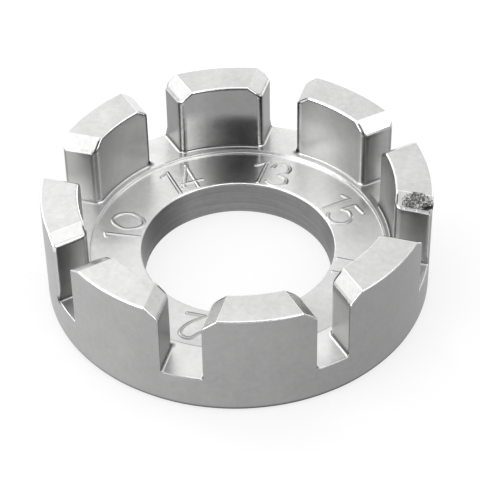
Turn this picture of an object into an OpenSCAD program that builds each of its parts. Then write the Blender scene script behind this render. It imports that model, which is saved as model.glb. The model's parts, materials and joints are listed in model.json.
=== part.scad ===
// Round spoke wrench: one zinc casting with eight upright lugs, and a jaw for a spoke nipple between each two.
// The underside rests on Z = 0, the ring's axis is Z, and the jaw for 12 gauge nipples faces -Y.

/* [Ring] */
// Diameter of the ring over its lugs
ring_d = 44; // [40:0.5:60]
// Height from the underside to the floor that carries the size numbers
floor_h = 4.15; // [2.5:0.05:8]
// Diameter of the central hole at the underside
hole_d = 21.6; // [14:0.2:23]
// Height of the straight wall at the bottom of the central hole
hole_land_h = 1.5; // [0.5:0.1:2]
// How far the draft widens the hole's radius above that wall
hole_draft = 0.3; // [0.1:0.05:0.5]
// Bevel round the hole's top edge
hole_bevel = 0.15; // [0.05:0.05:0.3]
// Radius of the round along the underside's outer edge
foot_r = 0.6; // [0.2:0.1:1.5]

/* [Lugs] */
// Height of the lugs above the floor of the jaws
lug_h = 8.8; // [5:0.1:14]
// Thickness of a lug, from its inner face to the outside of the ring
lug_t = 4.3; // [3:0.05:6]
// Rise from the numbered floor to the ledge that runs under the lugs and through the jaws
step_h = 0.4; // [0.2:0.05:1]
// Width of the ledge between the numbered floor and the lugs
ledge_w = 0.7; // [0.5:0.05:1.5]
// Bevel where the inner face of a lug meets the ledge
root_bevel = 0.3; // [0.1:0.05:0.45]
// Width of the sloped corner at the top of a lug, measured away from the jaw
corner_w = 1.6; // [0.5:0.1:3]
// Height of the sloped corner
corner_h = 1.3; // [0.5:0.05:2.5]
// Height of the two lower sloped corners, beside the plain jaw to the left of the 12 gauge jaw
corner_low_h = 0.8; // [0.4:0.05:2.5]
// Bevel along the upright edges at the inner mouth of a jaw
mouth_bevel = 0.5; // [0.1:0.05:0.9]

/* [Jaws] */
// Width of the jaw for 10 gauge nipples
jaw_10 = 5.3; // [4.8:0.05:6]
// Width of the jaw for 11 gauge nipples
jaw_11 = 4.7; // [4.3:0.05:5.5]
// Width of the jaw for 12 gauge nipples
jaw_12 = 4.7; // [4.3:0.05:5.5]
// Width of the jaw for 13 gauge nipples
jaw_13 = 4.2; // [4.1:0.05:5]
// Width of the jaw for 14 gauge nipples
jaw_14 = 4.1; // [3:0.05:5]
// Width of the jaw for 15 gauge nipples
jaw_15 = 3.55; // [3:0.05:4.5]
// Width of each of the two jaws that carry no number
jaw_plain = 3.9; // [3:0.05:5]

/* [Hidden] */
$fn = 180;
// How far each cut runs past the surfaces it opens
overrun = 1;
ring_r = ring_d / 2;
hole_r = hole_d / 2;
ledge_z = floor_h + step_h;
total_h = ledge_z + lug_h;
lug_in_r = ring_r - lug_t;
step_r = lug_in_r - ledge_w;
// Width of each jaw, the direction it faces, counted in degrees from -Y towards +X, and its corners' height.
// The real pitch is a little uneven: the two lugs beside the 12 gauge jaw are narrower than the rest.
jaws = [
    [jaw_12, 0, corner_h],
    [jaw_plain, 44, corner_h],
    [jaw_11, 89.5, corner_h],
    [jaw_15, 134, corner_h],
    [jaw_13, 179.5, corner_h],
    [jaw_14, 225, corner_h],
    [jaw_10, 270.5, corner_h],
    [jaw_plain, 316, corner_low_h]
];

// The base's section on one side of the axis: radius along X and height along Y
module base_section() {
    difference() {
        polygon([
            [hole_r, 0],
            [ring_r, 0],
            [ring_r, ledge_z],
            [step_r, ledge_z],
            [step_r, floor_h],
            [hole_r + hole_draft + hole_bevel, floor_h],
            [hole_r + hole_draft, floor_h - hole_bevel],
            [hole_r, hole_land_h]
        ]);
        translate([ring_r - foot_r, 0])
            difference() {
                translate([0, -overrun]) square([foot_r + overrun, foot_r + overrun]);
                translate([0, foot_r]) circle(r = foot_r);
            }
    }
}

// The section of the crown that the jaws divide into lugs
module crown_section() {
    polygon([
        [lug_in_r - root_bevel, ledge_z],
        [ring_r, ledge_z],
        [ring_r, total_h],
        [lug_in_r, total_h],
        [lug_in_r, ledge_z + root_bevel]
    ]);
}

// A jaw's opening, seen along it: the slot between two lugs and the sloped corners above it
module jaw_opening(width, corner) {
    slope = corner_w / corner;
    polygon([
        [-width / 2, ledge_z - overrun],
        [width / 2, ledge_z - overrun],
        [width / 2, total_h - corner],
        [width / 2 + corner_w + slope * overrun, total_h + overrun],
        [-width / 2 - corner_w - slope * overrun, total_h + overrun],
        [-width / 2, total_h - corner]
    ]);
}

// The bevels at a jaw's inner mouth, in plan, with the jaw facing -Y
module jaw_mouth(width) {
    mouth_y = -sqrt(pow(lug_in_r, 2) - pow(width / 2, 2));
    flare = mouth_bevel + root_bevel + overrun;
    polygon([
        [-width / 2 - flare, mouth_y - mouth_bevel + flare],
        [-width / 2, mouth_y - mouth_bevel],
        [width / 2, mouth_y - mouth_bevel],
        [width / 2 + flare, mouth_y - mouth_bevel + flare]
    ]);
}

module jaw_cut(width, corner) {
    start_y = -step_r + overrun;
    translate([0, start_y, 0]) rotate([90, 0, 0])
        linear_extrude(height = ring_r + start_y + overrun) jaw_opening(width, corner);
    translate([0, 0, ledge_z - overrun]) linear_extrude(height = lug_h + 2 * overrun) jaw_mouth(width);
}

module wrench_ring() {
    color("silver") {
        rotate_extrude() base_section();
        difference() {
            rotate_extrude() crown_section();
            for (jaw = jaws) rotate([0, 0, jaw[1]]) jaw_cut(jaw[0], jaw[2]);
        }
    }
}

wrench_ring();
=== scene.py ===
"""A round cast spoke wrench on a pale studio floor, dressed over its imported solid."""

import json

import bpy
import numpy as np
from mathutils import Matrix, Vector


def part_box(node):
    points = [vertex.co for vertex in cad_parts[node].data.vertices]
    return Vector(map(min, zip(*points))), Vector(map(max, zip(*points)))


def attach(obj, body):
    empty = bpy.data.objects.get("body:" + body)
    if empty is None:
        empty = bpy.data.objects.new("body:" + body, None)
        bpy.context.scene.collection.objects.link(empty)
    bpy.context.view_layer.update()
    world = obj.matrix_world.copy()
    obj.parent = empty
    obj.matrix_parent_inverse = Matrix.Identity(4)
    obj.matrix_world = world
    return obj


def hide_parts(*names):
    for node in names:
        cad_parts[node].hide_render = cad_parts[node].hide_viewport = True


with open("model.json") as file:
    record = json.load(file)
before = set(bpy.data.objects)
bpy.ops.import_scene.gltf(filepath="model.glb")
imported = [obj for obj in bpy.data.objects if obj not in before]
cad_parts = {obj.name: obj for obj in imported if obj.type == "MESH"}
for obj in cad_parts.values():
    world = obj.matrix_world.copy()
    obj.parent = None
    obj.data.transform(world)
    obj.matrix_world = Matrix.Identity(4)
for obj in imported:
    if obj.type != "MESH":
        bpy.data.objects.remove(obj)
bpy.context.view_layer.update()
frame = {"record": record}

# The casting: one piece of zinc alloy, cast in a two-part die and plated bright. A flat ring carries eight
# upright lugs, and each slot between two lugs is a jaw for one size of spoke nipple. Casting leaves its edges
# and inside corners a little round, and its faces a little uneven.
MM = 0.001
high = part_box("wrench_ring")[1]
mount_at = {mount["name"]: mount for mount in frame["record"]["mounts"]}
ring_r = high.x / MM
top_z = high.z / MM
hole_r = mount_at["centre_hole"]["dims"]["r_mm"]
hole_land_h = mount_at["centre_hole"]["dims"]["length_mm"]
hole_draft = 0.3
lug_h = 8.8
lug_t = 4.3
step_h = 0.4
ledge_w = 0.7
ledge_z = top_z - lug_h
floor_z = ledge_z - step_h
lug_in_r = ring_r - lug_t
step_r = lug_in_r - ledge_w
corner_w = 1.6
corner_h = 1.3
corner_low_h = 0.8
corner_z = top_z - corner_h
corner_low_z = top_z - corner_low_h
# Width of each jaw, in the order in which the jaws follow one another round the ring
jaw_width = {
    "jaw_12_gauge": 4.7,
    "jaw_plain_front": 3.9,
    "jaw_11_gauge": 4.7,
    "jaw_15_gauge": 3.55,
    "jaw_13_gauge": 4.2,
    "jaw_14_gauge": 4.1,
    "jaw_10_gauge": 5.3,
    "jaw_plain_left": 3.9,
}
jaw_names = list(jaw_width)
jaw_place = np.array([mount_at[name]["pos_m"] for name in jaw_names])
jaw_turn = np.arctan2(jaw_place[:, 0], -jaw_place[:, 1]) % (2 * np.pi)
jaw_half = np.array(list(jaw_width.values())) / 2
jaw_count = len(jaw_names)
jaw_corner_z = np.array([corner_low_z if name == "jaw_plain_left" else corner_z for name in jaw_names])
# Bevel on the outer upright edges of the lug that follows each jaw. A value below 0 leaves them sharp. The
# bevel starts a little above the ledge, at the foot, and grows from the sharp edge there to its full width.
brow_bevel = np.array([-0.5, -0.5, 0.2, 0.5, 0.5, 0.5, 0.28, -0.5])
brow_sharp = -0.3
brow_foot = 0.3
brow_growth = 0.9
# Rounds on the casting's edges and in its corners
step_round = 0.1
step_fillet = 0.12
mouth_round = 0.75
brow_round = 0.15
slope_round = 0.02
crest_round = 0.3
root_fillet = 0.28
wall_round = 0.24
foot_round = 0.6
hole_round = 0.15
# Depth of the uneven skin under the form: the heights of its three waves together
skin_depth = 0.009


def round_off(a, b, r):
    """Distance to what two solids share: the larger of their two distances, and round the edge where they
    meet the distance to an arc of radius r."""
    return np.minimum(-r, np.maximum(a, b)) + np.hypot(np.maximum(a + r, 0), np.maximum(b + r, 0))


def fillet(a, b, r):
    """Distance to two solids joined: the smaller of their two distances, and in the corner between them the
    distance to an arc of radius r."""
    return -round_off(-a, -b, r)


def hole_radius(z):
    """Radius of the central hole at height z: constant over the straight wall, then growing evenly by the
    draft."""
    return hole_r + hole_draft * np.clip((z - hole_land_h) / (floor_z - hole_land_h), 0, 1)


def waviness(p):
    """Height of the cast faces' slow unevenness: three crossing sine waves, 4 to 5 mm long."""
    x, y, z = np.moveaxis(p, -1, 0)
    return (
        0.004 * np.sin(0.93 * x + 0.41 * y + 0.70 * z + 1.3)
        + 0.003 * np.sin(-0.52 * x + 1.07 * y - 0.88 * z + 4.1)
        + 0.002 * np.sin(0.31 * x - 0.35 * y + 1.21 * z + 2.2)
    )


def form(p):
    """Signed distance in mm from points p to the casting's form. The base with its step and the lug between
    the two nearest jaws are joined, and both end at the outer wall, the underside and the hole."""
    x, y, z = np.moveaxis(p, -1, 0)
    r = np.hypot(x, y)
    turn = np.arctan2(x, -y) % (2 * np.pi)
    before = np.searchsorted(jaw_turn, turn, side="right") - 1
    after = (before + 1) % jaw_count
    aside_before = x * np.cos(jaw_turn[before]) + y * np.sin(jaw_turn[before]) - jaw_half[before]
    aside_after = -x * np.cos(jaw_turn[after]) - y * np.sin(jaw_turn[after]) - jaw_half[after]

    base = fillet(z - floor_z, round_off(z - ledge_z, step_r - r, step_round), step_fillet)
    plan, cap = lug_in_r - r, z - top_z
    rise = np.clip((z - ledge_z - brow_foot) / brow_growth, 0, 1)
    bevel = (brow_bevel[before] - brow_sharp) * rise**2 * (3 - 2 * rise) + brow_sharp
    for aside, start in ((aside_before, jaw_corner_z[before]), (aside_after, jaw_corner_z[after])):
        plan = round_off(plan, -aside, mouth_round)
        plan = round_off(plan, (r - ring_r - aside + bevel) / np.sqrt(2), brow_round)
        slope = ((z - start) * corner_w - aside * (top_z - start)) / np.hypot(corner_w, top_z - start)
        cap = round_off(cap, slope, slope_round)
    body = fillet(base, round_off(plan, cap, crest_round), root_fillet)

    body = round_off(body, r - ring_r, wall_round)
    body = round_off(body, -z, foot_round)
    return round_off(body, hole_radius(z) - r, hole_round)


def casting(p):
    """Distance to the casting as it left the die: its form, less a skin that is uneven and nowhere stands
    proud."""
    return form(p) + skin_depth + waviness(p)


def slope_of(distance, p, nudge=1e-3):
    """Gradient of a distance function at points p, by central differences along the three axes."""
    steps = np.eye(3) * nudge
    return np.stack([distance(p + step) - distance(p - step) for step in steps], -1) / (2 * nudge)


def settle(distance, p, rounds=6, least=0.05):
    """Points p moved down the gradient of a distance function, in Newton steps, until they lie on its
    surface. Where the gradient's square is small it counts as the least, so that no step is huge."""
    for _ in range(rounds):
        slope = slope_of(distance, p)
        p = p - distance(p)[..., None] * slope / np.maximum((slope**2).sum(-1, keepdims=True), least)
    return p


def places(start, end, apart, near_start=(), near_end=()):
    """Places from start to end: at the given distances from each of the two, and between them evenly
    spaced, apart or a little less from one to the next."""
    way = 1 if end > start else -1
    head = start + way * np.array((0, *near_start))
    tail = end - way * np.array((*near_end[::-1], 0))
    count = max(int(np.ceil(abs(tail[0] - head[-1]) / apart)), 1)
    return np.concatenate([head, np.linspace(head[-1], tail[0], count + 1)[1:-1], tail])


def weld(points):
    """Points of a grid, merged where they coincide, and for each place of the grid the number of its
    point."""
    flat = points.reshape(-1, 3)
    _, first, number = np.unique(np.round(flat, decimals=5), axis=0, return_index=True, return_inverse=True)
    return flat[first], number.reshape(points.shape[:-1])


def faces_of(number, closed_u=True, closed_v=True):
    """Faces between neighbours of a grid of point numbers: quads, triangles where two corners of a quad are
    the same point, and none where more are."""
    rows = np.arange(number.shape[0] if closed_u else number.shape[0] - 1)
    cols = np.arange(number.shape[1] if closed_v else number.shape[1] - 1)
    i, j = np.meshgrid(rows, cols, indexing="ij")
    i_next, j_next = (i + 1) % number.shape[0], (j + 1) % number.shape[1]
    quads = np.stack([number[i, j], number[i_next, j], number[i_next, j_next], number[i, j_next]], -1)
    quads = quads.reshape(-1, 4)
    folded = (quads[:, 0] == quads[:, 2]) | (quads[:, 1] == quads[:, 3])
    quads = quads[~folded]
    same = quads == np.roll(quads, -1, axis=1)
    whole = quads[same.sum(1) == 0]
    bent = quads[same.sum(1) == 1]
    drop = same[same.sum(1) == 1].argmax(1)
    keep = (drop[:, None] + np.arange(1, 4)) % 4
    corners = np.take_along_axis(bent, keep, axis=1)
    return whole.tolist() + corners.tolist()


def piece(name, points, faces, normals=None, **at_points):
    """A mesh object, smooth shaded, from points in mm and faces, with the surface's own normals and with
    one attribute for each further array of values at the points."""
    mesh = bpy.data.meshes.new(name)
    mesh.from_pydata((points * MM).tolist(), [], faces)
    mesh.polygons.foreach_set("use_smooth", np.ones(len(faces), bool))
    mesh.update()
    if normals is not None:
        mesh.normals_split_custom_set_from_vertices(normals.tolist())
    for title, values in at_points.items():
        mesh.attributes.new(title, "FLOAT", "POINT").data.foreach_set("value", values.astype(np.float32))
    made = bpy.data.objects.new(name, mesh)
    bpy.context.scene.collection.objects.link(made)
    return made


# Distances from an edge at which its round needs points: for a round of about 0.2 mm and for one of 0.75 mm
fine = (0.04, 0.09, 0.15, 0.22, 0.32)
broad = (0.06, 0.14, 0.24, 0.36, 0.5, 0.66, 0.85)
wall_z = places(ledge_z, corner_z, apart=0.6, near_start=fine, near_end=fine)
between_z = places(corner_z, corner_low_z, apart=0.11, near_start=fine[:1], near_end=fine[:3])
slope_z = places(corner_low_z, top_z, apart=0.11, near_start=fine[:1], near_end=fine[:3])
lug_z = np.concatenate([wall_z, between_z[1:], slope_z[1:]])

# The section along a lug, as radius and height: up the hole's wall, over the numbered floor and the ledge,
# up the lug's inner face, over its top, down the outer wall and back along the underside
hole_z = places(0, floor_z, apart=0.5, near_start=fine, near_end=fine)
floor_line = places(hole_r + hole_draft, step_r, apart=0.8, near_start=fine, near_end=fine[:4])
step_line = places(floor_z, ledge_z, apart=0.1, near_start=fine[:2], near_end=fine[:2])
ledge_line = places(step_r, lug_in_r, apart=0.2, near_start=fine[:4], near_end=fine)
top_line = places(lug_in_r, ring_r, apart=0.55, near_start=broad, near_end=broad)
foot_z = places(ledge_z, 0, apart=0.7, near_start=fine, near_end=broad)
under_line = places(ring_r, hole_r, apart=2, near_start=broad, near_end=fine)
section = np.concatenate([
    np.stack([hole_radius(hole_z), hole_z], -1),
    np.stack([floor_line, np.full_like(floor_line, floor_z)], -1),
    np.stack([np.full_like(step_line, step_r), step_line], -1),
    np.stack([ledge_line, np.full_like(ledge_line, ledge_z)], -1),
    np.stack([np.full_like(lug_z, lug_in_r), lug_z], -1),
    np.stack([top_line, np.full_like(top_line, top_z)], -1),
    np.stack([np.full_like(lug_z, ring_r), lug_z[::-1]], -1),
    np.stack([np.full_like(foot_z, ring_r), foot_z], -1),
    np.stack([under_line, np.zeros_like(under_line)], -1),
])
# Where lines run along a jaw, as shares of its half width, counted from its wall
jaw_shares = np.array([1, 0.6, 0.3])
# Where they run between two jaws, just off the ends of the sloped corners, as shares of the way across
near_shares = (0.006, 0.015)
# More than any rounding error, and less than the gap between any two heights
hair = 0.001


def half_pitch(half, start):
    """From the centre of a jaw, half wide to each side, to the end of its sloped corner, which starts at
    height start: how far aside each line across the ring lies, and the height that the casting has
    there."""
    floor = np.concatenate([half - jaw_shares * half, half - np.array(fine[::-1])])
    slope = places(0, corner_w, apart=0.22, near_start=broad, near_end=fine[:3])[1:]
    wall = lug_z[lug_z < start + hair]
    aside = np.concatenate([floor, np.full_like(wall, half), half + slope])
    height = np.concatenate([np.full_like(floor, ledge_z), wall, start + slope * (top_z - start) / corner_w])
    return aside, height


def across(k):
    """The lines across the ring from the centre of jaw k to that of the next one: the direction in which
    each lies, at every radius of the section, and the height there. Near a jaw they run along it, and
    between two jaws they fan out, their directions mixed by a share that goes from 0 to 1."""
    after = (k + 1) % jaw_count
    turn_a, turn_b = jaw_turn[k], jaw_turn[after] + (2 * np.pi if after == 0 else 0)
    aside_a, height_a = half_pitch(jaw_half[k], jaw_corner_z[k])
    aside_b, height_b = half_pitch(jaw_half[after], jaw_corner_z[after])
    share = places(0, 1, apart=0.085, near_start=near_shares, near_end=near_shares)[1:-1]
    aside_a = np.concatenate([aside_a, np.full_like(share, aside_a[-1]), np.zeros_like(aside_b)])
    aside_b = np.concatenate([np.zeros_like(height_a), np.full_like(share, aside_b[-1]), aside_b[::-1]])
    height = np.concatenate([height_a, np.full_like(share, top_z), height_b[::-1]])
    share = np.concatenate([np.zeros_like(height_a), share, np.ones_like(height_b)])
    radius = section[:, :1]
    from_a = turn_a + np.arcsin(aside_a / radius)
    from_b = turn_b - np.arcsin(aside_b / radius)
    turn = (1 - share) * from_a + share * from_b
    return turn, np.broadcast_to(height, turn.shape)


turn, height = (np.concatenate(part, axis=1) for part in zip(*map(across, range(jaw_count))))
radius = np.broadcast_to(section[:, :1], turn.shape)
sharp = np.stack([radius * np.sin(turn), -radius * np.cos(turn), np.minimum(section[:, 1:], height)], -1)
sharp, number = weld(sharp)
cast_points = settle(casting, sharp)
cast_normals = slope_of(casting, cast_points)
cast_normals /= np.linalg.norm(cast_normals, axis=-1, keepdims=True)
cast_body = piece("cast_body", cast_points, faces_of(number), cast_normals, edge=form(sharp))


class Wire:
    """A socket in a material's nodes. Arithmetic on wires adds Math nodes; node() adds any other."""

    def __init__(self, tree, socket=None):
        self.tree, self.socket = tree, socket

    def node(self, kind, settings=None, out=0, **inputs):
        """A new node: first its settings, then a value or a wire for each input, by name or as _0, _1."""
        made = self.tree.nodes.new(kind)
        for title, value in (settings or {}).items():
            setattr(made, title, value)
        for title, value in inputs.items():
            socket = made.inputs[int(title[1:]) if title.startswith("_") else title.replace("_", " ")]
            if isinstance(value, Wire):
                self.tree.links.new(value.socket, socket)
            else:
                socket.default_value = value
        return Wire(self.tree, made.outputs[out])

    def math(self, operation, *values):
        """A Math node that works out the operation on wires or plain values."""
        numbered = {f"_{place}": value for place, value in enumerate(values)}
        return self.node("ShaderNodeMath", {"operation": operation}, **numbered)

    def __add__(self, other):
        return self.math("ADD", self, other)

    def __sub__(self, other):
        return self.math("SUBTRACT", self, other)

    def __rsub__(self, other):
        return self.math("SUBTRACT", other, self)

    def __mul__(self, other):
        return self.math("MULTIPLY", self, other)

    def __truediv__(self, other):
        return self.math("DIVIDE", self, other)

    __radd__ = __add__
    __rmul__ = __mul__

    def between(self, start, end):
        """0 where the wire's value is at or before start, 1 at or past end, and an S curve between them."""
        flip = start > end
        lowest, highest = (end, start) if flip else (start, end)
        smooth = {"interpolation_type": "SMOOTHSTEP"}
        eased = self.node("ShaderNodeMapRange", smooth, Value=self, From_Min=lowest, From_Max=highest)
        return 1 - eased if flip else eased

    def noise(self, size, detail=2.0, roughness=0.5, stretch=(1, 1, 1)):
        """Cloudy values about 0.5 on this wire's points, size mm across and drawn out along each axis by
        stretch."""
        scale = [1 / (size * times) for times in stretch]
        shrunk = self.node("ShaderNodeVectorMath", {"operation": "MULTIPLY"}, _0=self, _1=scale)
        return self.node("ShaderNodeTexNoise", Vector=shrunk, Scale=1.0, Detail=detail, Roughness=roughness)


# The plating: bright metal whose roughness differs by face, with light and shade painted into its lightness
plated_zinc = bpy.data.materials.new("plated_zinc")
plated_zinc.use_nodes = True
zinc = plated_zinc.node_tree
zinc_shader = zinc.nodes["Principled BSDF"]
nodes = Wire(zinc)
where = nodes.node("ShaderNodeTexCoord", out="Object")
spot = nodes.node("ShaderNodeVectorMath", {"operation": "SCALE"}, _0=where, Scale=1 / MM)
spot_x, spot_y, spot_z = (nodes.node("ShaderNodeSeparateXYZ", out=axis, Vector=spot) for axis in range(3))
spot_r = nodes.math("SQRT", spot_x * spot_x + spot_y * spot_y)
far_x = nodes.math("ABSOLUTE", spot_x)
to_front = spot_y.between(-8, -12)
facing = nodes.node("ShaderNodeTexCoord", out="Normal")
facing_up = nodes.node("ShaderNodeSeparateXYZ", out=2, Vector=facing).between(0.2, 0.6)
outwards = nodes.node("ShaderNodeCombineXYZ", X=spot_x / spot_r, Y=spot_y / spot_r, Z=0.0)
dot_product = {"operation": "DOT_PRODUCT"}
facing_out = nodes.node("ShaderNodeVectorMath", dot_product, out="Value", _0=facing, _1=outwards)
# About the way to the camera, in plan: jaw walls that face it get a painted highlight and are the brightest
front_way = (0.26, -0.966, 0.0)
facing_front = nodes.node("ShaderNodeVectorMath", dot_product, out="Value", _0=facing, _1=front_way)

# The faces of the casting: each mask is 1 on its own face and 0 elsewhere
outer = spot_r.between(ring_r - 0.35, ring_r - 0.1) * (1 - facing_up)
in_hole = spot_r.between(hole_r + 0.45, hole_r + 0.3) * (1 - facing_up)
inward = facing_out.between(-0.5, -0.85) * spot_r.between(step_r, step_r + 0.3)
on_top = spot_z.between(corner_z - 0.3, corner_z + 0.1) * facing_up
on_floor = facing_up * (1 - on_top)
number_floor = on_floor * spot_z.between(floor_z + 0.25, floor_z + 0.15)
jaw_wall = nodes.math("MAXIMUM", 1 - facing_up - outer - in_hole - inward, 0.0)
# A painted highlight on the jaw walls that face the camera
lit_front_wall = jaw_wall * facing_front.between(0.75, 1.0) * spot_z.between(ledge_z, ledge_z + 0.3)
step_wall = spot_r.between(step_r - 0.3, step_r - 0.15) * spot_r.between(step_r + 0.3, step_r + 0.1)
step_wall = step_wall * (1 - facing_up)

# Edges and corners. The edge attribute is how far the round took a point in from where a sharp edge would
# be, in mm, and below 0 how far the metal that fills a corner brought it out.
edge = nodes.node("ShaderNodeAttribute", {"attribute_name": "edge"}, out="Fac")
# Convex edges made lighter: low down partly wear and partly painted highlight, at the lugs' tops painted
# highlight
wear_and_edge_highlight = edge.between(0.015, 0.08) * spot_z.between(ledge_z - 1, ledge_z)
top_edge_highlight = edge.between(0.015, 0.08) * spot_z.between(corner_z - 0.4, corner_z)
# Painted shade in the corners that metal fills
recess_shade = edge.between(-0.01, -0.06)
# The round at the foot of the outer wall painted darker: painted shade where it meets the floor
foot_shade = spot_z.between(0.8, 0.3) * spot_r.between(ring_r - 0.8, ring_r - 0.4)
# Painted shade along the step's edge at the front
shaded_front_rim = spot_r.between(step_r - 0.12, step_r) * spot_r.between(step_r + 0.2, step_r + 0.08) * to_front
# Painted highlight on the hole's top rim at the back
lit_hole_lip = spot_r.between(hole_r + 0.75, hole_r + 0.5) * spot_z.between(floor_z - 0.3, floor_z - 0.12)
lit_hole_lip = lit_hole_lip * far_x.between(10, 8) * spot_y.between(0, 2)
# Painted shade on the hole's rim towards both sides
shaded_far_rim = edge.between(0.015, 0.06) * spot_r.between(hole_r + 0.8, hole_r + 0.6) * far_x.between(7.5, 9.5)
# Painted shade on the outer lips of the jaws' floors
shaded_jaw_lip = edge.between(0.015, 0.06) * spot_r.between(ring_r - 0.3, ring_r - 0.1)
shaded_jaw_lip = shaded_jaw_lip * spot_z.between(ledge_z + 0.3, ledge_z + 0.1) * spot_z.between(floor_z - 1, floor_z)
# The rounds on the upright edges at the inner mouths of the jaws: painted shade, but on one on the back lug a
# painted highlight
shaded_upright = facing_out.between(-0.95, -0.82) * facing_out.between(-0.5, -0.68)
shaded_upright = shaded_upright * spot_z.between(ledge_z + 0.2, ledge_z + 0.5) * (1 - facing_up)
lit_back_upright = shaded_upright * spot_y.between(12.5, 13.3) * spot_x.between(-8, -10)
shaded_upright = shaded_upright - lit_back_upright
# A tick of painted shade at the inner end of each sloped corner, but for the two of the back lug on the left
shade_tick = spot_r.between(lug_in_r + 0.14, lug_in_r + 0.22) * spot_r.between(lug_in_r + 0.44, lug_in_r + 0.34)
shade_tick = shade_tick * spot_z.between(corner_z - 0.2, corner_z) * spot_z.between(top_z - 0.15, top_z - 0.35)
shade_tick = shade_tick * facing_up * (1 - spot_y.between(12.5, 13.3) * spot_x.between(0, -1))
# The size numbers, which stand up from the floor inside the step
raised_figure = spot_z.between(floor_z + 0.01, floor_z + 0.05) * spot_r.between(step_r - 0.2, step_r - 0.5)

# Places on those faces with painted light and shade, lighter or darker than the rest; shiny only lowers
# roughness
shaded_hole_end = in_hole * far_x.between(7.5, 10.8)
shaded_right_lug = inward * spot_x.between(13, 14.5)
lit_lug = inward * spot_x.between(2, 5) * spot_x.between(14, 12.5) * spot_y.between(7, 10)
shaded_back = inward * spot_y.between(15, 16.5) * spot_z.between(9, 11)
lit_back_step = step_wall * spot_y.between(13.5, 15)
lit_left_wall = outer * spot_x.between(-3, -9) * spot_x.between(-20, -17)
shaded_right_wall = outer * spot_x.between(8, 16)
# The outer wall painted darker from left to right: painted shade
shade_graded_wall = outer * spot_x.between(-20, 22)
lit_left_ledge = on_floor * spot_x.between(-12, -14) * spot_y.between(-6, -3)
shaded_front_ledge = on_floor * spot_y.between(-14, -17)
shaded_front_floor = number_floor * spot_y.between(-3, -10)
shaded_right_floor = number_floor * spot_x.between(4, 8)
shaded_back_floor = number_floor * spot_y.between(9, 12) + (on_floor - number_floor) * spot_y.between(12, 14)
shaded_back_floor = shaded_back_floor * far_x.between(3, 5)
shaded_ledge = spot_r.between(step_r - 0.1, step_r) * spot_r.between(lug_in_r + 0.3, lug_in_r)
shaded_ledge = shaded_ledge * spot_x.between(12, 13.5) * spot_y.between(1, 3)
shaded_ledge = shaded_ledge * spot_z.between(ledge_z + 0.3, ledge_z)
lit_jaw = jaw_wall * spot_z.between(ledge_z + 4.5, ledge_z + 1) * spot_y.between(-2, 1)
lit_jaw = lit_jaw * (spot_x.between(12, 13.5) + spot_x.between(-14, -15.5))
shiny = spot_y.between(7, 9) * spot_x.between(-13, -12) * spot_x.between(0, -1.5)
# Spots of painted shade at the feet of some lugs, in corners where walls meet the ledge: the jaw, the side of
# it and the radius
lug_foot_shades = [
    ("jaw_14_gauge", 1, lug_in_r),
    ("jaw_13_gauge", -1, lug_in_r),
    ("jaw_12_gauge", -1, lug_in_r),
    ("jaw_plain_front", -1, lug_in_r),
    ("jaw_14_gauge", -1, ring_r),
    ("jaw_13_gauge", 1, ring_r),
    ("jaw_plain_left", -1, ring_r),
]
shade_in_wall = 0.1
shade_up = 0.2
lug_foot_shade = 0.0
for shade_jaw, side, shade_r in lug_foot_shades:
    shade_turn = jaw_turn[jaw_names.index(shade_jaw)]
    shade_aside = side * (jaw_width[shade_jaw] / 2 + shade_in_wall)
    shade_x = shade_r * np.sin(shade_turn) + shade_aside * np.cos(shade_turn)
    shade_y = -shade_r * np.cos(shade_turn) + shade_aside * np.sin(shade_turn)
    shade_at = (shade_x, shade_y, ledge_z + shade_up)
    away = nodes.node("ShaderNodeVectorMath", {"operation": "DISTANCE"}, out="Value", _0=spot, _1=shade_at)
    lug_foot_shade = lug_foot_shade + away.between(0.68, 0.2)
lug_foot_shade = nodes.math("MINIMUM", lug_foot_shade, 1.0)

# The unevenness of the plating: soft clouds, a fine mottle and grain, marks drawn upwards as the casting
# left its die, and in the hole marks that run round it
cloud = spot.noise(3.2, 3.0, 0.55)
mottle = spot.noise(0.7, 3.0, 0.6)
grain = spot.noise(0.16, 2.0, 0.6)
drawn = spot.noise(0.55, 3.0, 0.6, stretch=(1, 1, 9))
around = nodes.node("ShaderNodeCombineXYZ", X=spot_x / spot_r * 1.6, Y=spot_y / spot_r * 1.6, Z=spot_z * 4)
turned = nodes.node("ShaderNodeTexNoise", Vector=around, Scale=1.0, Detail=3.0, Roughness=0.6)

# Painted light and shade by facing: faces turned up much lighter, inner faces, outer wall and step riser a
# little lighter than jaw walls
lightness = 0.245 + 0.095 * inward + 0.45 * facing_up + 0.075 * on_floor + 0.19 * outer + 0.4 * step_wall
lightness = lightness * (1 + 0.18 * (cloud - 0.5) + 0.22 * (mottle - 0.5) + 0.10 * wear_and_edge_highlight - 0.35 * recess_shade)
lightness = lightness * (1 - 0.24 * shade_graded_wall + 0.7 * in_hole * (turned - 0.5) - 0.7 * foot_shade + lit_front_wall)
lightness = lightness * (1 - 0.6 * shaded_hole_end)
lightness = lightness * (1 - 0.5 * shaded_right_lug - 0.17 * shaded_front_floor)
lightness = lightness * (1 + 0.06 * lit_left_ledge)
lightness = lightness * (1 + 0.8 * lit_back_step + 0.05 * lit_left_wall)
lightness = lightness * (1 - 0.12 * shaded_front_ledge - 0.07 * shaded_right_floor - 0.08 * shaded_back_floor)
lightness = lightness * (1 + 0.22 * lit_lug - 0.16 * shaded_back - 0.55 * shaded_ledge)
lightness = lightness * (1 + 0.6 * top_edge_highlight + 0.5 * lit_hole_lip - 0.4 * shaded_jaw_lip - 0.75 * lug_foot_shade)
lightness = lightness * (1 + 2 * lit_back_upright + 0.4 * lit_jaw - 0.4 * shaded_far_rim - 0.07 * shaded_right_wall)
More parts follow.
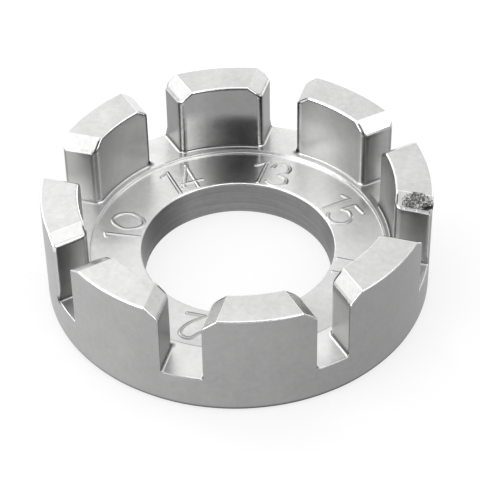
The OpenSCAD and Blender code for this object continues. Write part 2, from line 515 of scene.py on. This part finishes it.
# Painted shade on the raised figures, darker towards the front
figure_shade = (0.3 + 0.12 * to_front) * raised_figure
lightness = lightness * (1 - 0.6 * shaded_upright - 0.85 * shade_tick - figure_shade - 0.6 * shaded_front_rim)
pale = nodes.node("ShaderNodeCombineColor", Red=lightness, Green=lightness, Blue=lightness * 0.995)
rough = 0.32 - 0.02 * facing_up - 0.05 * on_top + 0.10 * outer + 0.03 * in_hole
rough = rough - (0.13 * inward + 0.08 * on_floor) * shiny
rough = rough + 0.06 * (cloud - 0.5) + 0.05 * (mottle - 0.5)
relief = 0.0015 * grain + 0.003 * drawn + (0.005 + 0.03 * edge.between(0.01, 0.05)) * mottle
bump = nodes.node("ShaderNodeBump", Strength=1.0, Distance=MM, Height=relief)
zinc.links.new(pale.socket, zinc_shader.inputs["Base Color"])
zinc.links.new(rough.socket, zinc_shader.inputs["Roughness"])
zinc.links.new(bump.socket, zinc_shader.inputs["Normal"])
zinc_shader.inputs["Metallic"].default_value = 1.0
cast_body.data.materials.append(plated_zinc)

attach(cast_body, "root")
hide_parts("wrench_ring")

# The size numbers: raised figures on the floor beside six of the jaws, cast with the ring and plated with
# it. Each stroke is a low bead with a round top, its foot part of the floor. The figures beside the 11 gauge
# jaw and the first one beside the 12 gauge jaw are guessed.
bead_half = 0.27
bead_rise = 0.11
bead_sink = 0.08
# The widest part of a bead lies this far under the floor, in the skin of the casting
bead_drop = 0.01
# Where sections stand on a bead's round end, as angles from its tip
end_angles = np.radians([0, 15, 32, 50, 70])
# The points of each stroke in mm, sideways from the jaw's middle and outwards from the ring's axis. A reader
# who looks out through the jaw has the figures upright.
strokes = {
    "jaw_12_gauge": (
        [(-1.95, 14.75), (-1.0, 15.5)],
        [(-1.0, 15.5), (-1.0, 11.6)],
        [(0.1, 14.7), (0.9, 15.7), (1.75, 15.7), (2.3, 15.0), (1.65, 13.5), (0.3, 12.1)],
        [(0.3, 12.05), (2.35, 12.05)],
    ),
    "jaw_11_gauge": (
        [(-1.95, 14.75), (-1.0, 15.5)],
        [(-1.0, 15.5), (-1.0, 11.6)],
        [(0.35, 14.75), (1.3, 15.5)],
        [(1.3, 15.5), (1.3, 11.6)],
    ),
    "jaw_15_gauge": (
        [(-1.9, 15.0), (-0.9, 15.45)],
        [(-0.9, 15.4), (-0.9, 11.8)],
        [(2.05, 15.55), (0.4, 15.45)],
        [(0.4, 15.45), (0.25, 13.75)],
        [(0.25, 13.75), (1.15, 14.2), (2.3, 13.7), (2.55, 12.7), (1.9, 11.75), (0.9, 11.5), (0.15, 11.95)],
    ),
    "jaw_13_gauge": (
        [(-1.95, 14.55), (-0.65, 15.55)],
        [(-0.85, 15.4), (-0.95, 11.55)],
        [(0.05, 14.6), (0.5, 15.4), (1.55, 15.5), (2.15, 14.85), (1.95, 14.05), (1.25, 13.5)],
        [(1.25, 13.5), (2.2, 12.9), (2.3, 12.15), (1.6, 11.55), (0.8, 11.5), (0.05, 12.05)],
    ),
    "jaw_14_gauge": (
        [(-1.9, 15.3), (-0.95, 15.7)],
        [(-0.95, 15.7), (-1.3, 11.65)],
        [(1.7, 15.8), (-0.45, 12.4)],
        [(1.6, 15.8), (1.1, 11.55)],
        [(-0.45, 12.9), (2.1, 12.55)],
    ),
    "jaw_10_gauge": (
        [(-2.25, 15.2), (-1.65, 15.5)],
        [(-1.65, 15.5), (-1.3, 11.55)],
        [
            (-0.4, 13.55),
            (0.15, 14.9),
            (1.0, 15.4),
            (1.9, 14.9),
            (2.4, 13.55),
            (1.85, 12.15),
            (0.95, 11.65),
            (0.1, 12.2),
            (-0.4, 13.55),
        ],
    ),
}


def curve(points, steps=10):
    """A smooth line through points in the plane, by cubics that head, at each point, along the line between
    the two points beside it. It is closed where the last point is the first."""
    points = np.array(points)
    closed = np.array_equal(points[0], points[-1])
    ahead = points[-2] if closed else 2 * points[0] - points[1]
    beyond = points[1] if closed else 2 * points[-1] - points[-2]
    knots = np.vstack([ahead, points, beyond])
    a, b, c, d = (knots[i : len(knots) - 3 + i, None] for i in range(4))
    t = np.linspace(0, 1, steps, endpoint=False)[:, None]
    line = b + (c - a) * t / 2 + (a - 2.5 * b + 2 * c - 0.5 * d) * t**2
    line = line + (1.5 * b - 0.5 * a - 1.5 * c + 0.5 * d) * t**3
    line = line.reshape(-1, 2)
    return (line, True) if closed else (np.vstack([line, points[-1]]), False)


def bead(points, around=20):
    """A bead along the curve through points: its own points, their numbers in its grid and whether it is
    closed. Its section is a parabola above the floor and half an ellipse below it, and at an open end it
    shrinks to a pole as the section of a ball does."""
    line, closed = curve(points)
    if closed:
        heading = np.roll(line, -1, axis=0) - np.roll(line, 1, axis=0)
        swell = np.ones(len(line))
    else:
        heading = np.gradient(line, axis=0)
        unit = heading / np.linalg.norm(heading, axis=-1, keepdims=True)
        reach = bead_half * np.cos(end_angles)[:, None]
        ends = len(end_angles)
        swell = np.concatenate([np.sin(end_angles), np.ones(len(line)), np.sin(end_angles[::-1])])
        heading = np.concatenate([np.repeat(heading[:1], ends, 0), heading, np.repeat(heading[-1:], ends, 0)])
        line = np.concatenate([line[0] - unit[0] * reach, line, (line[-1] + unit[-1] * reach)[::-1]])
    unit = heading / np.linalg.norm(heading, axis=-1, keepdims=True)
    beside = np.stack([unit[:, 1], -unit[:, 0]], -1)
    angle = np.linspace(0, 2 * np.pi, around, endpoint=False)
    wide = bead_half * swell[:, None] * np.cos(angle)
    above = bead_rise * np.sin(angle) ** 2
    high = swell[:, None] * np.where(np.sin(angle) > 0, above, bead_sink * np.sin(angle))
    flat = line[:, None] + wide[..., None] * beside[:, None]
    grid, number = weld(np.concatenate([flat, high[..., None]], -1))
    return grid, number, closed


for jaw, figures in strokes.items():
    outward = jaw_place[jaw_names.index(jaw)] * (1, 1, 0)
    outward = outward / np.linalg.norm(outward)
    sideways = np.cross(outward, (0, 0, 1))
    points, faces, count = [], [], 0
    for grid, number, closed in (bead(stroke) for stroke in figures):
        upwards = (grid[:, 2:] + floor_z - bead_drop) * (0, 0, 1)
        points.append(grid[:, :1] * sideways + grid[:, 1:2] * outward + upwards)
        faces += faces_of(number + count, closed_u=closed)
        count += len(grid)
    raised = piece(jaw.replace("jaw", "number").replace("_gauge", ""), np.concatenate(points), faces)
    raised.data.materials.append(plated_zinc)
    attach(raised, "root")

# The gate scar: where the molten zinc ran into the die, the runner was broken off the sloped corner of the
# lug between the 15 and the 11 gauge jaws. What is left is a patch of coarse broken grains, darker than the
# plating.
gate_jaw = jaw_names.index("jaw_11_gauge")
gate_turn = jaw_turn[gate_jaw]
gate_out = np.array([np.sin(gate_turn), -np.cos(gate_turn), 0])
gate_aside = np.array([np.cos(gate_turn), np.sin(gate_turn), 0])
gate_rise = (gate_aside * corner_w + np.array([0, 0, corner_h])) / np.hypot(corner_w, corner_h)
gate_normal = np.cross(gate_out, gate_rise)
# The patch's middle, out from the ring's axis and up the slope
scar_out = 19.98
scar_up = 0.97
gate_at = gate_out * scar_out + gate_aside * jaw_half[gate_jaw] + np.array([0, 0, corner_z])
gate_at = gate_at + gate_rise * scar_up
# How far it reaches from there inwards and outwards, up the slope and down it
scar_half = 1.85
scar_above = 1.32
scar_below = 0.74
# Its outline's power above and below the middle: 2 makes an ellipse, and more squares the ellipse's corners
power_above = 2.2
power_below = 4.0
# How far the grains stand proud, the rim dips into the slope and the back lies inside the lug
scar_rise = 0.2
scar_dip = 0.07
scar_back = 0.1
# How steeply it falls to the rim, as a power of the way there
rim_power = 5
# The grains are waves of these lengths, and their heights swing about a mean
grain_waves = 14
grain_length = (0.16, 0.55)
grain_mean = 0.45
grain_swing = 0.55
# Rings of points from the middle to the rim, and from there back to the middle inside the lug
rings_out = 45
rings_back = 12
ring_points = 120
# The grains end this far below the top of the lugs
under_top = 0.0005

scar_angle = np.linspace(0, 2 * np.pi, ring_points, endpoint=False)
upper = np.sin(scar_angle) > 0
scar_power = np.where(upper, power_above, power_below)
across_share = (np.abs(np.cos(scar_angle)) / scar_half) ** scar_power
along_share = (np.abs(np.sin(scar_angle)) / np.where(upper, scar_above, scar_below)) ** scar_power
scar_rim = (across_share + along_share) ** (-1 / scar_power)
scar_share = np.concatenate([np.linspace(0, 1, rings_out), np.linspace(1, 0, rings_back)[1:]])[:, None]
scar_x = scar_share * scar_rim * np.cos(scar_angle)
scar_y = scar_share * scar_rim * np.sin(scar_angle)
chance = np.random.default_rng(11)
grains = np.zeros_like(scar_x)
for _ in range(grain_waves):
    way, length, start = chance.uniform(0, np.pi), chance.uniform(*grain_length), chance.uniform(0, 2 * np.pi)
    ripple = np.sin((scar_x * np.cos(way) + scar_y * np.sin(way)) * 2 * np.pi / length + start)
    grains = grains + ripple * length
grains = grains / np.abs(grains).max()
fall = scar_share**rim_power
scar_h = scar_rise * (grain_mean + grain_swing * grains) * (1 - fall) - scar_dip * fall
scar_h[rings_out:] = -scar_back
scar_grid = gate_at + scar_x[..., None] * gate_out + scar_y[..., None] * gate_rise
scar_grid = scar_grid + scar_h[..., None] * gate_normal
scar_grid[..., 2] = np.minimum(scar_grid[..., 2], top_z - under_top)
scar_points, scar_number = weld(scar_grid)
gate_scar = piece("gate_scar", scar_points, faces_of(scar_number, closed_u=False))

# Its broken metal: dark, rough and speckled, painted near black as the shade of a hollow where one chunk tore
# out
broken_zinc = bpy.data.materials.new("broken_zinc")
broken_zinc.use_nodes = True
broken = broken_zinc.node_tree
broken_shader = broken.nodes["Principled BSDF"]
nodes = Wire(broken)
where = nodes.node("ShaderNodeTexCoord", out="Object")
spot = nodes.node("ShaderNodeVectorMath", {"operation": "SCALE"}, _0=where, Scale=1 / MM)
crystal = nodes.node("ShaderNodeTexVoronoi", out="Distance", Vector=spot, Scale=4.5)
speck = spot.noise(0.25, 3.0, 0.6)
torn_out = 1.45
torn_down = 0.55
torn_at = (gate_at + torn_out * gate_out - torn_down * gate_rise).tolist()
pit_shade = nodes.node("ShaderNodeVectorMath", {"operation": "DISTANCE"}, out="Value", _0=spot, _1=torn_at)
pit_shade = pit_shade.between(0.9, 0.4)
lightness = (0.04 + 0.36 * speck.between(0.42, 0.62) + 0.12 * crystal) * (1 - 0.85 * pit_shade)
pale = nodes.node("ShaderNodeCombineColor", Red=lightness, Green=lightness, Blue=lightness * 0.98)
rough = 0.45 + 0.3 * (speck - 0.5)
bump = nodes.node("ShaderNodeBump", Strength=1.0, Distance=MM, Height=0.12 * crystal + 0.08 * speck)
broken.links.new(pale.socket, broken_shader.inputs["Base Color"])
broken.links.new(rough.socket, broken_shader.inputs["Roughness"])
broken.links.new(bump.socket, broken_shader.inputs["Normal"])
broken_shader.inputs["Metallic"].default_value = 1.0
gate_scar.data.materials.append(broken_zinc)
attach(gate_scar, "root")

# The studio: a pale floor under the tool, soft glowing panels all round it and the photograph's camera. The
# floor is a matt sheet, which glows as well where the camera or a reflection sees it.
floor = bpy.data.objects.new("studio_floor", bpy.data.meshes.new("studio_floor"))
half_floor = 2.0
floor_corners = [(x * half_floor, y * half_floor, 0) for x, y in ((-1, -1), (1, -1), (1, 1), (-1, 1))]
floor.data.from_pydata(floor_corners, [], [(0, 1, 2, 3)])
bpy.context.scene.collection.objects.link(floor)

floor_paint = bpy.data.materials.new("pale_floor")
floor_paint.use_nodes = True
paint = floor_paint.node_tree
floor_nodes = Wire(paint)
seen = floor_nodes.node("ShaderNodeLightPath", out="Is Camera Ray")
seen = seen + floor_nodes.node("ShaderNodeLightPath", out="Is Glossy Ray")
seen = seen + floor_nodes.node("ShaderNodeLightPath", out="Is Transmission Ray")
matt = floor_nodes.node("ShaderNodeBsdfDiffuse", Color=(0.9, 0.9, 0.9, 1))
sheen = floor_nodes.node("ShaderNodeEmission", Color=(1, 1, 1, 1), Strength=1.0)
mixed = floor_nodes.node("ShaderNodeMixShader", _0=seen * 0.75, _1=matt, _2=sheen)
paint.links.new(mixed.socket, paint.nodes["Material Output"].inputs["Surface"])
floor.data.materials.append(floor_paint)

# The camera, fitted to the photograph: its pitch and roll, its turn about the upright axis, and the point
# in mm that it looks at from camera_far away
elevation = 0.7326
roll = -0.0212
camera_turn = np.radians(16.71)
camera_far = 225.46
aim = np.array([0.273, 0.220, 4.889])
look = np.array([0, np.cos(elevation), -np.sin(elevation)])
right = np.array([1.0, 0, 0])
up = np.cross(right, look)
side_axis = np.cos(roll) * right + np.sin(roll) * up
up_axis = -np.sin(roll) * right + np.cos(roll) * up
spin = np.array(Matrix.Rotation(camera_turn, 3, "Z"))
view = np.eye(4)
view[:3, 0] = spin @ side_axis
view[:3, 1] = spin @ up_axis
view[:3, 2] = -spin @ look
view[:3, 3] = spin @ (aim - camera_far * look) * MM
camera = bpy.data.objects.new("camera", bpy.data.cameras.new("camera"))
camera.data.sensor_width = 36
camera.data.lens = 147.2
camera.data.clip_start = 0.01
camera.matrix_world = Matrix(view.tolist())
bpy.context.scene.collection.objects.link(camera)
bpy.context.scene.camera = camera

# The soft panels: how far each is turned from the camera's line of sight and raised, in degrees, how tight
# its glow is, and how bright it is in the middle
panels = [
    (0, 12, 12, 0.9),
    (30, 12, 12, 2.2),
    (240, 12, 12, 3.7),
    (330, 12, 12, 0.6),
    (45, 42, 24, 0.5),
    (90, 42, 24, 2.0),
    (135, 42, 24, 3.7),
    (247, 42, 24, 2.6),
    (315, 42, 24, 3.6),
    (338, 42, 24, 0.5),
    (290, 26, 30, 0.9),
    (62, 24, 30, 0.3),
    (80, 74, 30, 0.9),
    (0, 70, 12, 1.6),
    (240, 70, 12, 1.0),
]
world = bpy.data.worlds.new("studio")
world.use_nodes = True
air = Wire(world.node_tree)
ray = air.node("ShaderNodeTexCoord", out="Generated")
light = 0.0
for panel_turn, panel_rise, tightness, strength in panels:
    panel_turn, panel_rise = np.radians((panel_turn, panel_rise))
    level = np.cos(panel_rise)
    toward = [np.sin(panel_turn) * level, np.cos(panel_turn) * level, np.sin(panel_rise)]
    toward = (spin @ np.array(toward)).tolist()
    aimed = air.node("ShaderNodeVectorMath", {"operation": "DOT_PRODUCT"}, out="Value", _0=ray, _1=toward)
    light = light + air.math("POWER", air.math("MAXIMUM", aimed, 0.0), tightness) * strength
background = world.node_tree.nodes["Background"]
world.node_tree.links.new(light.socket, background.inputs["Strength"])
background.inputs["Color"].default_value = (1, 1, 1, 1)
bpy.context.scene.world = world

bpy.context.scene.view_settings.view_transform = "Standard"
